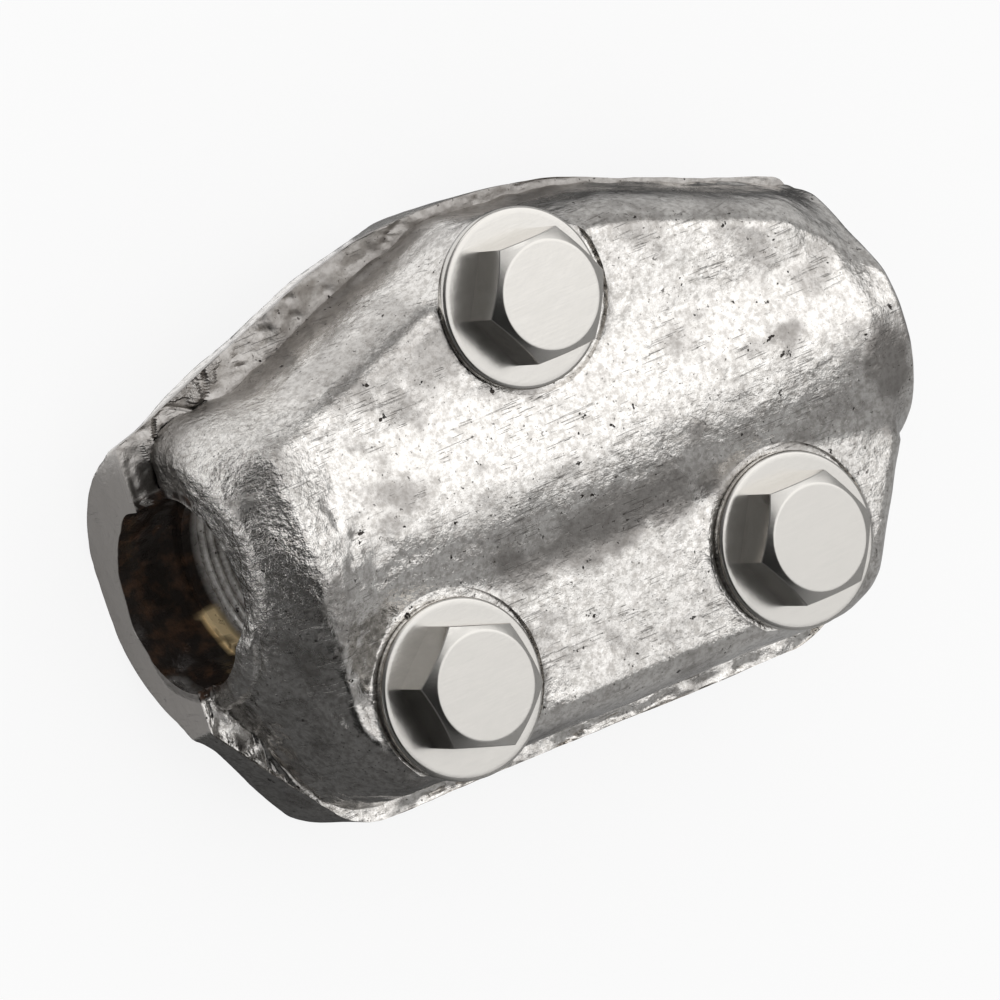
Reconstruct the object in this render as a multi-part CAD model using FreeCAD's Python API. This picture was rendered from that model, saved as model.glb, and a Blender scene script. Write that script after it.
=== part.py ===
"""Three-bolt bonding connector: a clamp of two tinned bronze castings round a conductor bore.

Millimetres. The bore runs along X. Z points up along the bolts, heads uppermost. The origin is
on the flat back of the base casting, under the middle of the bore.
"""
import FreeCAD, Part
import math
import os
from FreeCAD import Vector

# Heights: joint face above the flat back, washer seats above the joint face, shoulders above seats
PARTING_Z = 16.0
COVER_HEIGHT = 16.0
SEAT_Z = PARTING_Z + COVER_HEIGHT
SEAT_DEPTH = 0.5
SHOULDER_Z = SEAT_Z + SEAT_DEPTH

# Bolt pattern
BASE_HALF_LENGTH = 49.0
PAIR_END_DISTANCE = 24.45
PAIR_SPACING = 2 * (BASE_HALF_LENGTH - PAIR_END_DISTANCE)
LONE_BOLT_Y = 19.8
PAIR_BOLT_Y = -19.8

# Plan of the base casting: corners of its outline and the arc that turns each one
LEFT_END_UPPER_Y = 19.0
LEFT_END_LOWER_Y = 16.5
RIGHT_END_UPPER_Y = 18.4
RIGHT_END_LOWER_Y = 17.6
PEAK_FROM_BOLT = 15.9
FOOT_FROM_BOLT = 14.1
RIGHT_FOOT_DROP = 2.6
LEFT_FOOT_INSET = 12.7
RIGHT_FOOT_INSET = 12.6
END_ROUND = 3.0
PEAK_ROUND = 70.0
LEFT_FOOT_ROUND = 9.0
RIGHT_FOOT_ROUND = 14.0

# Base casting: rim under the joint face, skirt under the rim
UPPER_RIM_HEIGHT = 4.6
UPPER_RIM_END_HEIGHT = 1.0
LOWER_RIM_HEIGHT = 10.0
LOWER_RIM_END_HEIGHT = 4.5
RIM_END_RUN = 13.0
RIM_DRAFT = 0.5
SKIRT_HEIGHT = 3.5
SKIRT_INSET = 4.5
SKIRT_ROUND_RATIO = 0.5

# Base casting: belly round the bore, thread bosses
BELLY_HALF_WIDTH = 18.4
BELLY_FLAT_CUT = 0.6
BOSS_FOOT_RADIUS = 9.5
BOSS_ROOT_RADIUS = 14.0

# Cover casting: ledge that the base leaves bare along each side
LEDGE_UPPER_LEFT = 4.4
LEDGE_UPPER_RIGHT = 0.8
LEDGE_RIGHT_END = -0.3
LEDGE_LOWER_RIGHT = 1.0
LEDGE_BOTTOM = 2.4
LEDGE_LOWER_LEFT = 1.8
LEDGE_LOWER_LEFT_END = 4.2
LEDGE_LEFT_END = 7.0

# Cover casting: how far each wall leans in up to the shoulders, and its rounds
LEAN_UPPER = 2.5
LEAN_RIGHT_END = 3.0
LEAN_LOWER = 2.6
LEAN_LEFT_END = 3.0
COVER_CORNER_ROUND = 10.0
COVER_PEAK_ROUND = 60.0
SHOULDER_ROUND = 5.5

# Cover casting: ridge over the bore, whose crest stands above the washer seats
RIDGE_STAND = 1.8
RIDGE_RADIUS = COVER_HEIGHT + RIDGE_STAND
RIDGE_END_ROUND = 5.0
RIDGE_RIGHT_DROP = 0.7
RIDGE_LEFT_GAP = 4.5
MOUTH_WALL = 2.5

# Cover casting: bevel ground across the upper corner of its right end, at this radius on the end
BEVEL_RADIUS = 15.6
BEVEL_WAY = Vector(0.97, 1.0, 1.0)

# Bore
GRIP_RADIUS = 10.2
MOUTH_RADIUS = 11.3
MOUTH_DEPTH = 9.0
GROOVE_START = 11.6
GROOVE_PITCH = 1.1
GROOVE_WIDTH = 0.9
GROOVE_DEPTH = 0.5
GROOVE_COUNT = 4

# Bolt, 3/8 in hexagon head
SHANK_RADIUS = 4.7625
BOLT_LENGTH = 31.75
HEAD_ACROSS_FLATS = 14.29
HEAD_HEIGHT = 5.75
HEAD_CHAMFER_RADIUS = 6.55
HEAD_CHAMFER_ANGLE = 30.0
TIP_CHAMFER = 0.9

# Washer
WASHER_RADIUS = 10.85
WASHER_HOLE_RADIUS = 5.6
WASHER_THICKNESS = 1.5
WASHER_EDGE_CHAMFER = 0.35

# Clearances round the bolts and washers, and the seat's edge inside the washer's
COVER_HOLE_CLEARANCE = 0.64
THREAD_CLEARANCE = 0.05
SPOTFACE_CLEARANCE = 0.75
SEAT_OVERHANG = 0.6

# Length by which a cutting body runs past the metal that it cuts, and the tolerance on a length
OVERRUN = 5.0
CLOSE = 0.01

# Name of each bolt, its centre, the turn of its head and how far its washer sits off centre
BOLTS = [
    ("1", Vector(0, LONE_BOLT_Y, 0), 121.0, Vector(-0.5, 0.05, 0)),
    ("2", Vector(PAIR_SPACING / 2, PAIR_BOLT_Y, 0), 120.5, Vector(0.3, -0.4, 0)),
    ("3", Vector(-PAIR_SPACING / 2, PAIR_BOLT_Y, 0), 102.0, Vector(0.05, -0.45, 0)),
]

# Corners of the base's outline, clockwise from the upper left one
BASE_PLAN = [
    (-BASE_HALF_LENGTH, LEFT_END_UPPER_Y),
    (0.0, LONE_BOLT_Y + PEAK_FROM_BOLT),
    (BASE_HALF_LENGTH, RIGHT_END_UPPER_Y),
    (BASE_HALF_LENGTH, -RIGHT_END_LOWER_Y),
    (BASE_HALF_LENGTH - RIGHT_FOOT_INSET, PAIR_BOLT_Y - FOOT_FROM_BOLT - RIGHT_FOOT_DROP),
    (LEFT_FOOT_INSET - BASE_HALF_LENGTH, PAIR_BOLT_Y - FOOT_FROM_BOLT),
    (-BASE_HALF_LENGTH, -LEFT_END_LOWER_Y),
]
SIDES = len(BASE_PLAN)
BASE_ROUNDS = [
    END_ROUND, PEAK_ROUND, END_ROUND, END_ROUND, RIGHT_FOOT_ROUND, LEFT_FOOT_ROUND, END_ROUND,
]
SKIRT_ROUNDS = [radius * SKIRT_ROUND_RATIO for radius in BASE_ROUNDS]
COVER_ROUNDS = [COVER_CORNER_ROUND, COVER_PEAK_ROUND] + [COVER_CORNER_ROUND] * (SIDES - 2)

# One value for each side of the outline, from the upper left side on
COVER_LEDGES = [
    LEDGE_UPPER_LEFT, LEDGE_UPPER_RIGHT, LEDGE_RIGHT_END, LEDGE_LOWER_RIGHT,
    LEDGE_BOTTOM, LEDGE_LOWER_LEFT, LEDGE_LEFT_END,
]
COVER_WIDENING = [0.0, 0.0, 0.0, 0.0, 0.0, LEDGE_LOWER_LEFT_END - LEDGE_LOWER_LEFT, 0.0]
NO_WIDENING = [0.0] * SIDES
COVER_LEANS = [
    LEAN_UPPER, LEAN_UPPER, LEAN_RIGHT_END, LEAN_LOWER,
    LEAN_LOWER, LEAN_LOWER, LEAN_LEFT_END,
]


def inset_corners(insets, widening):
    """Corners of the base's outline after each side is drawn in by its own inset.

    A side with a widening is drawn in by that much more at its far end.
    """
    lines = []
    for i, (x0, y0) in enumerate(BASE_PLAN):
        x1, y1 = BASE_PLAN[(i + 1) % SIDES]
        length = math.hypot(x1 - x0, y1 - y0)
        turn = math.atan2(widening[i], length)
        along = math.atan2(y1 - y0, x1 - x0) - turn
        a = math.sin(along)
        b = -math.cos(along)
        lines.append((a, b, a * x0 + b * y0 + insets[i]))
    corners = []
    for i, (a1, b1, c1) in enumerate(lines):
        a0, b0, c0 = lines[i - 1]
        area = a0 * b1 - a1 * b0
        corners.append(((c0 * b1 - c1 * b0) / area, (a0 * c1 - a1 * c0) / area))
    return corners


def section(z, insets, rounds, widening=NO_WIDENING):
    """Closed wire at height z: the inset outline with an arc of the given radius at each corner."""
    points = [Vector(x, y, z) for x, y in inset_corners(insets, widening)]
    arcs = []
    for i, radius in enumerate(rounds):
        here = points[i]
        back = (points[i - 1] - here).normalize()
        on = (points[(i + 1) % SIDES] - here).normalize()
        half = back.getAngle(on) / 2
        reach = radius / math.tan(half)
        middle = (back + on).normalize() * (radius / math.sin(half) - radius)
        arcs.append((here + back * reach, here + middle, here + on * reach))
    edges = []
    for i, (first, middle, last) in enumerate(arcs):
        edges.append(Part.Arc(first, middle, last).toShape())
        edges.append(Part.LineSegment(last, arcs[(i + 1) % SIDES][0]).toShape())
    return Part.Wire(edges)


def block(lower, upper):
    """Solid with straight walls between two sections."""
    return Part.makeLoft([lower, upper], True, True)


def turned(outline, angle):
    """Solid turned by an angle about the bore's axis from a closed wire in the plane of x and radius."""
    solid = Part.Face(outline).revolve(Vector(0, 0, 0), Vector(1, 0, 0), angle)
    solid.translate(Vector(0, 0, PARTING_Z))
    return solid


def bore_tool():
    """Everything that the bore takes out: the grip length, its grooves and a mouth at each end."""
    right = []
    for i in reversed(range(GROOVE_COUNT)):
        x = BASE_HALF_LENGTH - GROOVE_START - i * GROOVE_PITCH
        right.append((x - GROOVE_WIDTH / 2, GRIP_RADIUS))
        right.append((x, GRIP_RADIUS + GROOVE_DEPTH))
        right.append((x + GROOVE_WIDTH / 2, GRIP_RADIUS))
    step = BASE_HALF_LENGTH - MOUTH_DEPTH
    end = BASE_HALF_LENGTH + OVERRUN
    right += [(step, GRIP_RADIUS), (step, MOUTH_RADIUS), (end, MOUTH_RADIUS), (end, 0)]
    left = [(-x, radius) for x, radius in reversed(right)]
    points = [Vector(x, radius, 0) for x, radius in left + right]
    return turned(Part.makePolygon(points + points[:1]), 360)


def rim_window(low, end_low, side):
    """Side view of the rim run out to one side of the bore: it thins towards both ends."""
    near = BASE_HALF_LENGTH - RIM_END_RUN
    beyond = BASE_HALF_LENGTH + OVERRUN
    outline = [
        (-beyond, PARTING_Z), (beyond, PARTING_Z), (beyond, end_low), (BASE_HALF_LENGTH, end_low),
        (near, low), (-near, low), (-BASE_HALF_LENGTH, end_low), (-beyond, end_low),
    ]
    points = [Vector(x, 0, z) for x, z in outline]
    return Part.Face(Part.makePolygon(points + points[:1])).extrude(Vector(0, side * BASE_HALF_LENGTH, 0))


def base_rim(height, end_height, side):
    """Rim with a skirt under it on one side of the bore, where side is 1 or -1."""
    low = PARTING_Z - height
    skirt_low = low - SKIRT_HEIGHT
    foot = section(low, [RIM_DRAFT] * SIDES, BASE_ROUNDS)
    rim = block(foot, section(PARTING_Z, [0.0] * SIDES, BASE_ROUNDS))
    skirt = block(section(skirt_low, [RIM_DRAFT + SKIRT_INSET] * SIDES, SKIRT_ROUNDS), foot)
    return rim.fuse(skirt).common(rim_window(skirt_low, PARTING_Z - end_height, side))


def base_belly():
    """Round-bellied bar along the bore, as wide as stated at the joint face and cut flat at z = 0."""
    depth = PARTING_Z + BELLY_FLAT_CUT
    radius = (BELLY_HALF_WIDTH ** 2 + depth ** 2) / (2 * depth)
    start = Vector(-BASE_HALF_LENGTH, 0, radius - BELLY_FLAT_CUT)
    bar = Part.makeCylinder(radius, 2 * BASE_HALF_LENGTH, start, Vector(1, 0, 0))
    corner = Vector(-BASE_HALF_LENGTH, -BELLY_HALF_WIDTH, 0)
    return bar.common(Part.makeBox(2 * BASE_HALF_LENGTH, 2 * BELLY_HALF_WIDTH, PARTING_Z, corner))


def base_casting():
    """Lower half: flat joint face, thick rim, belly round the bore and three thread bosses."""
    under = base_belly()
    for _, centre, _, _ in BOLTS:
        under = under.fuse(Part.makeCone(BOSS_FOOT_RADIUS, BOSS_ROOT_RADIUS, PARTING_Z, centre))
    plan = Part.Face(section(0, [0.0] * SIDES, BASE_ROUNDS)).extrude(Vector(0, 0, PARTING_Z))
    body = under.common(plan)
    body = body.fuse(base_rim(UPPER_RIM_HEIGHT, UPPER_RIM_END_HEIGHT, 1))
    body = body.fuse(base_rim(LOWER_RIM_HEIGHT, LOWER_RIM_END_HEIGHT, -1))
    body = body.removeSplitter().cut(bore_tool())
    for _, centre, _, _ in BOLTS:
        foot = centre - Vector(0, 0, OVERRUN)
        body = body.cut(Part.makeCylinder(SHANK_RADIUS + THREAD_CLEARANCE, PARTING_Z + 2 * OVERRUN, foot))
    return body.removeSplitter()


def ridge_end(x, drop, side):
    """First, middle and last point of the arc by which the ridge falls to its end at x on one side."""
    half = math.acos(1 - drop / RIDGE_END_ROUND) / 2
    first = Vector(x - side * RIDGE_END_ROUND * math.sin(2 * half), RIDGE_RADIUS, 0)
    sunk = RIDGE_END_ROUND * (1 - math.cos(half))
    middle = first + Vector(side * RIDGE_END_ROUND * math.sin(half), -sunk, 0)
    return first, middle, Vector(x, RIDGE_RADIUS - drop, 0)


def cover_ridge():
    """Half-round ridge over the bore, rounded down to the mouth's wall at its left end."""
    left = RIDGE_LEFT_GAP - BASE_HALF_LENGTH
    right = BASE_HALF_LENGTH - LEDGE_RIGHT_END
    left_level, left_middle, left_edge = ridge_end(left, RIDGE_RADIUS - MOUTH_RADIUS - MOUTH_WALL, -1)
    right_level, right_middle, right_edge = ridge_end(right, RIDGE_RIGHT_DROP, 1)
    edges = [
        Part.LineSegment(Vector(left, 0, 0), left_edge),
        Part.Arc(left_edge, left_middle, left_level),
        Part.LineSegment(left_level, right_level),
        Part.Arc(right_level, right_middle, right_edge),
        Part.LineSegment(right_edge, Vector(right, 0, 0)),
        Part.LineSegment(Vector(right, 0, 0), Vector(left, 0, 0)),
    ]
    return turned(Part.Wire([edge.toShape() for edge in edges]), 180)


def cover_shoulders():
    """Leaning walls with a wide round over their upper edge, a little above the washer seats."""
    tops = [ledge + lean for ledge, lean in zip(COVER_LEDGES, COVER_LEANS)]
    foot = section(PARTING_Z, COVER_LEDGES, COVER_ROUNDS, COVER_WIDENING)
    walls = block(foot, section(SHOULDER_Z, tops, COVER_ROUNDS, COVER_WIDENING))
    upper = [edge for edge in walls.Edges if edge.BoundBox.ZMin > SHOULDER_Z - CLOSE]
    return walls.makeFillet(SHOULDER_ROUND, upper)


def end_bevel():
    """Block whose flat underside bevels the upper corner of the cover's right end."""
    reach = BEVEL_RADIUS / math.sqrt(2)
    middle = Vector(BASE_HALF_LENGTH - LEDGE_RIGHT_END, reach, PARTING_Z + reach)
    side = 2 * BASE_HALF_LENGTH
    slab = Part.makeBox(side, side, OVERRUN * 2, Vector(-side / 2, -side / 2, 0))
    slab.Placement = FreeCAD.Placement(middle, FreeCAD.Rotation(Vector(0, 0, 1), BEVEL_WAY))
    return slab


def cover_casting():
    """Upper half: shoulders and ridge run into one another, with a flat seat cut for each washer."""
    body = cover_shoulders().fuse(cover_ridge()).removeSplitter()
    for _, centre, _, _ in BOLTS:
        foot = centre + Vector(0, 0, PARTING_Z)
        body = body.fuse(Part.makeCylinder(WASHER_RADIUS - SEAT_OVERHANG, COVER_HEIGHT, foot))
    body = body.removeSplitter().cut(bore_tool())
    for _, centre, _, _ in BOLTS:
        seat = centre + Vector(0, 0, SEAT_Z)
        body = body.cut(Part.makeCylinder(SHANK_RADIUS + COVER_HOLE_CLEARANCE, SEAT_Z + OVERRUN, centre))
        body = body.cut(Part.makeCylinder(WASHER_RADIUS + SPOTFACE_CLEARANCE, OVERRUN, seat))
    return body.cut(end_bevel()).removeSplitter()


def hexagon(turn):
    """Six-sided wire about the Z axis with one corner at the given angle."""
    corner = HEAD_ACROSS_FLATS / math.sqrt(3)
    ring = []
    for i in range(7):
        angle = math.radians(turn + 60 * i)
        ring.append(Vector(corner * math.cos(angle), corner * math.sin(angle), 0))
    return Part.makePolygon(ring)


def bolt(turn):
    """Hexagon bolt on the Z axis with the underside of its head at z = 0."""
    slope = math.tan(math.radians(HEAD_CHAMFER_ANGLE))
    spread = HEAD_CHAMFER_RADIUS + HEAD_HEIGHT / slope
    envelope = Part.makeCone(spread, HEAD_CHAMFER_RADIUS, HEAD_HEIGHT)
    head = Part.Face(hexagon(turn)).extrude(Vector(0, 0, HEAD_HEIGHT)).common(envelope)
    end = Vector(0, 0, -BOLT_LENGTH)
    tip = Part.makeCone(SHANK_RADIUS - TIP_CHAMFER, SHANK_RADIUS, TIP_CHAMFER, end)
    shank = Part.makeCylinder(SHANK_RADIUS, BOLT_LENGTH - TIP_CHAMFER, end + Vector(0, 0, TIP_CHAMFER))
    return head.multiFuse([shank, tip]).removeSplitter()


def washer():
    """Flat washer lying on z = 0 with softened outer edges."""
    disc = Part.makeCylinder(WASHER_RADIUS, WASHER_THICKNESS)
    rims = [edge for edge in disc.Edges if edge.BoundBox.ZLength < CLOSE]
    disc = disc.makeChamfer(WASHER_EDGE_CHAMFER, rims)
    return disc.cut(Part.makeCylinder(WASHER_HOLE_RADIUS, WASHER_THICKNESS))


def main():
    """Build every piece in its place and write one STEP file for each."""
    pieces = {"base_casting": base_casting(), "cover_casting": cover_casting()}
    for name, centre, turn, offset in BOLTS:
        ring = washer()
        ring.translate(centre + offset + Vector(0, 0, SEAT_Z))
        pieces["washer_" + name] = ring
        screw = bolt(turn)
        screw.translate(centre + Vector(0, 0, SEAT_Z + WASHER_THICKNESS))
        pieces["bolt_" + name] = screw
    os.makedirs("parts", exist_ok=True)
    for name, shape in pieces.items():
        print(name, len(shape.Solids), shape.isValid(), round(shape.Volume / 1000, 2), "cm3", shape.BoundBox)
        shape.Solids[0].exportStep("parts/" + name + ".step")


main()
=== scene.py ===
"""Bonding connector: cast skins, hardware, finishes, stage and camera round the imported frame."""
import math

import bpy
import numpy as np
from mathutils import Matrix, Vector


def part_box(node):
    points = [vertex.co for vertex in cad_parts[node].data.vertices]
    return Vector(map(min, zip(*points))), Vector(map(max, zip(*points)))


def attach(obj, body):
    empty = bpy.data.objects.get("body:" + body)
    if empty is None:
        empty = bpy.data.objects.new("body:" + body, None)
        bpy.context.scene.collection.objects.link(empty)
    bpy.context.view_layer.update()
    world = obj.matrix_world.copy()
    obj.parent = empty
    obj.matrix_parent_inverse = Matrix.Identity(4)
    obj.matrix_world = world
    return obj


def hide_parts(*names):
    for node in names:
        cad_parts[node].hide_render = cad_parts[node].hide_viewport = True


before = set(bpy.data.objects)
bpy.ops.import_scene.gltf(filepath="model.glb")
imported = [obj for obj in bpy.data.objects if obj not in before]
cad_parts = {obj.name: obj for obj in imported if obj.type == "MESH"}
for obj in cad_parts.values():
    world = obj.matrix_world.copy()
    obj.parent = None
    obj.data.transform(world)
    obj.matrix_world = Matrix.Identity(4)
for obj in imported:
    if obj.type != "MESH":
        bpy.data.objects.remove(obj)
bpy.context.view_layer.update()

bl_info = {
    "name": "Bonding Connector",
    "version": (1, 0, 0),
    "blender": (4, 5, 0),
    "location": "3D View > Sidebar > Connector",
    "description": "Cast skins, hardware, finishes and a studio for a bolted bonding connector",
    "category": "Object",
}

# Every length below is in millimetres unless its name says otherwise
MM = 0.001
NUMBERS = ("1", "2", "3")


def low(node):
    """Lowest corner of a CAD node."""
    return np.array(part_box(node)[0]) / MM


def high(node):
    """Highest corner of a CAD node."""
    return np.array(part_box(node)[1]) / MM


def middle(node):
    """Middle of a CAD node as seen from above."""
    return (low(node) + high(node))[:2] / 2


# Places that the frame gives
PARTING = high("base_casting")[2]
SEAT = low("washer_1")[2] - PARTING
HALF_LENGTH = high("base_casting")[0]
BOLT_SPOTS = [middle("bolt_" + n) for n in NUMBERS]
WASHER_SPOTS = [middle("washer_" + n) for n in NUMBERS]

# Plan of the base casting, clockwise from the upper left corner, the round of each corner, and no
# value for any side
PLAN = np.array([
    (-HALF_LENGTH, 19.0), (0.0, 35.7), (HALF_LENGTH, 18.4), (HALF_LENGTH, -17.6),
    (36.4, -36.5), (-34.6, -34.5), (-HALF_LENGTH, -16.5),
])
BASE_ROUNDS = (3.0, 70.0, 3.0, 3.0, 14.0, 9.0, 3.0)
NONE = (0.0,) * len(PLAN)

# Base: how far each side is drawn in at the joint face, and leans out over a height below it
BASE_INSETS = (0.0, 0.0, -0.4, 0.0, 0.0, 0.0, -0.4)
BASE_LEANS = (-0.5, -0.5, 0.0, -0.5, -0.5, 1.0, 0.0)
BASE_LEAN_HEIGHT = 8.0

# Base: height of the rim on each side of the bore, what it loses by the ends, and over which run
UPPER_RIM = 4.6
UPPER_RIM_LOSS = 3.6
LOWER_RIM = 10.0
LOWER_RIM_NEAR_LOSS = 5.2
LOWER_RIM_FAR_LOSS = 5.5
RIM_RUN = 13.0
LOWER_RIM_NEAR_RUN = 11.0
RIM_SKIRT = 2.0
RIM_ROUND = 4.0

# Base: belly round the bore, bosses that narrow downwards, fill between them, and rounded edges
BELLY_MIDDLE = (0.3, 1.9)
BELLY_RADIUS = 18.5
BOSS_RADIUS = 14.0
BOSS_NARROWING = 4.5
BASE_FILL = 3.0
BACK_ROUND = 0.8
JOINT_EDGE_ROUND = 0.3
BASE_END_ROUND = 0.4

# Cover over the plan: its ends, the round of each corner, the bare ledge along each side, what that
# ledge gains over the side, and how far each side leans in up to the shoulders
COVER_LEFT = -44.8
COVER_RIGHT = 49.3
COVER_ROUNDS = (10.0, 60.0, 10.0, 10.0, 10.0, 10.0, 10.0)
COVER_LEDGES = (4.4, 0.8, -0.3, 1.0, 2.2, 0.6, 7.0)
COVER_WIDENING = (0.0, 0.0, 0.0, 0.0, 0.0, 1.3, 0.0)
COVER_LEANS = (2.5, 2.5, 3.0, 2.6, 2.6, 2.6, 1.5)

# Cover: shoulders, which sink by the far end, with a rounded edge this much wider than it is high
SHOULDER = SEAT + 0.5
SHOULDER_SINK = 1.6
SHOULDER_SPREAD = 2.6
SHOULDER_ROUND = 3.4
NEAR_ROUND_LOSS = 1.0

# Cover: ridge, its fall to the near mouth, which starts later on the upper side, and to the far end
RIDGE_RADIUS = 17.8
RIDGE_FALL = 4.0
RIDGE_FALL_START = -37.0
RIDGE_FALL_RUN = 8.4
UPPER_FALL_DELAY = 4.5
RIDGE_FAR_FALL = 0.7
VALLEY_FILL = 2.4
NEAR_VALLEY_GAIN = 5.0

# Cover: pads under the washers, bevel across the upper far corner, rounded edges of the ends
PAD_INSET = 0.6
PAD_STAND = 0.3
PAD_ROUND = 0.6
PAD_FILL = 2.0
BEVEL_PLACE = 11.03
BEVEL_TILT = 0.97
BEVEL_LENGTH = 1.714
COVER_END_ROUND = 0.8

# Cover: lip of the near mouth, from this place downwards, with its curve and the most it runs out
LIP_START = 0.8
LIP_CURVE = 0.035
LIP_MOST = 2.0

# Bore and bolt holes
GRIP_RADIUS = 10.2
MOUTH_RADIUS = 11.3
MOUTH_DEPTH = 9.0
GROOVE_START = 11.6
GROOVE_PITCH = 1.1
GROOVE_WIDTH = 0.9
GROOVE_DEPTH = 0.5
GROOVE_COUNT = 4
COVER_HOLE = 5.4
BASE_HOLE = 4.813
HOLE_POINTS = 96
CUT_OVERRUN = 2.0
ABOVE_SEAT = 6.0

# Washers: how far the edges of the hole and the lower edge are broken, and the rolled upper edge
WASHER_RADIUS = (high("washer_1")[0] - low("washer_1")[0]) / 2
WASHER_THICKNESS = high("washer_1")[2] - low("washer_1")[2]
WASHER_HOLE = 5.6
HOLE_BREAK = 0.15
EDGE_BREAK = 0.2
ROLLED_EDGE = 0.45
SPOTFACE = WASHER_RADIUS + 0.75

# Bolts: head with a chamfer outside a circle and softened edges, thread with its run-in and flat
# share of crest and root, and chamfered tip
SHANK_RADIUS = 4.7625
BOLT_LENGTH = high("washer_1")[2] - low("bolt_1")[2]
HEAD_HEIGHT = high("bolt_1")[2] - high("washer_1")[2]
HEAD_FLATS = 14.29
HEAD_CIRCLE = 6.55
CHAMFER_SLOPE = math.tan(math.radians(30.0))
SOFT_EDGE = 0.1
CIRCLE_SINK = 0.02
CORNER_SINK = 0.08
FLAT_RIM = 0.3
THREAD_RUN_IN = (0.6, 2.2)
THREAD_FLAT = 0.1
THREAD_ROWS = 241
TIP_CHAMFER = 1.0

# Angles, in degrees, past which an edge is shaded sharp
CAST_SHARP = 38
WASHER_SHARP = 50
BOLT_SHARP = 20

# Grid of a casting: points round its outside, outer points to one of the bore, rows that fan out at
# each end and rows between, halvings of a ray and its reach, and how far rays miss the mouth
ARC_POINTS = 241
BORE_SHARE = 3
END_ROWS = 76
MIDDLE_ROWS = 96
HALVINGS = 22
REACH = 70.0
MISS = 0.3

# Rows of the bore from an end: the edge, the mouth, the step and the land before the grooves, then
# each groove's two flanks and the land behind it
MOUTH_ROWS = [1, 13, 3, 2]
GROOVE_ROWS = [3, 3, 1]
EDGE_ROW = 0.12

# How strongly points on the joint face gather at its outer edge, distance under which points are
# welded, and half the distance over which a normal is measured
JOINT_GATHER = 1.6
WELD = 1e-4
NORMAL_STEP = 0.05

# Height and size of each layer of lumps, and how high flash may stand on the ledge
SKIN_LAYERS = ((0.16, 9.0), (0.07, 3.7), (0.035, 1.6), (0.015, 0.8))
NEAR_LAYERS = ((0.09, 1.7), (0.07, 0.9))
MOUTH_LAYERS = ((0.18, 3.1), (0.1, 1.2))
LEDGE_LAYERS = ((0.3, 3.4), (0.12, 1.1))
STAIN_LAYERS = ((1.6, 3.5), (0.8, 1.3))
FLASH_HEIGHT = 0.45

# Mouths: how much shallower the base's is than wide, and how ragged its lower near corner is
MOUTH_SHALLOW = 0.85
MOUTH_RAGGED = 1.3

# Masks: radii between which the bore's wall ends, depths between which an end face ends, and height
# over the joint face from which a point is the cover's
WALL_RADII = (12.4, 12.8)
END_FACE = (0.02, 0.1)
JOINT_SKIN = 0.01


def lattice_noise(points, size, seed):
    """Value noise from -1 to 1: random values at the corners of cubes of a size, eased between them."""
    table = np.random.default_rng(seed).uniform(-1.0, 1.0, 4096)
    scaled = points / size
    cell = np.floor(scaled).astype(np.int64)
    ease = scaled - cell
    ease = ease * ease * (3.0 - 2.0 * ease)
    total = np.zeros(points.shape[:-1])
    for corner in np.ndindex(2, 2, 2):
        key = cell + np.array(corner)
        key = key[..., 0] * 73856093 ^ key[..., 1] * 19349663 ^ key[..., 2] * 83492791
        weight = np.prod(np.where(np.array(corner) == 1, ease, 1.0 - ease), axis=-1)
        total += weight * table[key & 4095]
    return total


def lumps(points, layers, seed):
    """Sum of layers of noise, each with its height and size, with seeds that count up."""
    total = np.zeros(points.shape[:-1])
    for i, (height, size) in enumerate(layers):
        total = total + height * lattice_noise(points, size, seed + i)
    return total


def step(value, start, stop):
    """Smooth step from 0 at start to 1 at stop."""
    share = np.clip((value - start) / (stop - start), 0.0, 1.0)
    return share * share * (3.0 - 2.0 * share)


def rounded_and(a, b, radius):
    """Distance outside what two shapes share, with the edge between them rounded."""
    past = np.hypot(np.maximum(a + radius, 0), np.maximum(b + radius, 0))
    return np.minimum(np.maximum(a, b), -radius) + past


def filled_or(a, b, width):
    """Distance outside two joined shapes, with the corner between them filled over a width."""
    share = np.maximum(width - np.abs(a - b), 0.0) / width
    return np.minimum(a, b) - share * share * width / 4.0


def plan_distance(points, insets, widening, leans, height, rounds):
    """Distance outside the plan, each side drawn in by its inset and leaning in over the height.

    A side's inset grows by its widening from its first corner to its last.

    A corner's round is turned into the value that rounded_and needs where the sides meet at that
    corner's own angle: radius * (1 - cos(half the turn)) / (1 - cos 45 degrees).
    """
    along = np.roll(PLAN, -1, axis=0) - PLAN
    length = np.linalg.norm(along, axis=1)
    along = along / length[:, None]
    out = np.stack([-along[:, 1], along[:, 0]], axis=1)
    turn = np.arccos(np.sum(out * np.roll(out, 1, axis=0), axis=1))
    field = None
    for i in range(len(PLAN)):
        from_corner = points[..., :2] - PLAN[i]
        inset = insets[i] + widening[i] * (from_corner @ along[i]) / length[i]
        side = from_corner @ out[i] + inset + leans[i] * points[..., 2] / height
        side = side / math.hypot(1.0, leans[i] / height)
        radius = rounds[i] * (1.0 - math.cos(turn[i] / 2)) / (1.0 - math.cos(math.pi / 4))
        field = side if field is None else rounded_and(field, side, radius)
    return field


def near_lip(y):
    """How far the cover's mouth runs out past its near end: more and more on the lower side."""
    return np.minimum(LIP_CURVE * np.maximum(LIP_START - y, 0.0) ** 2, LIP_MOST)


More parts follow.
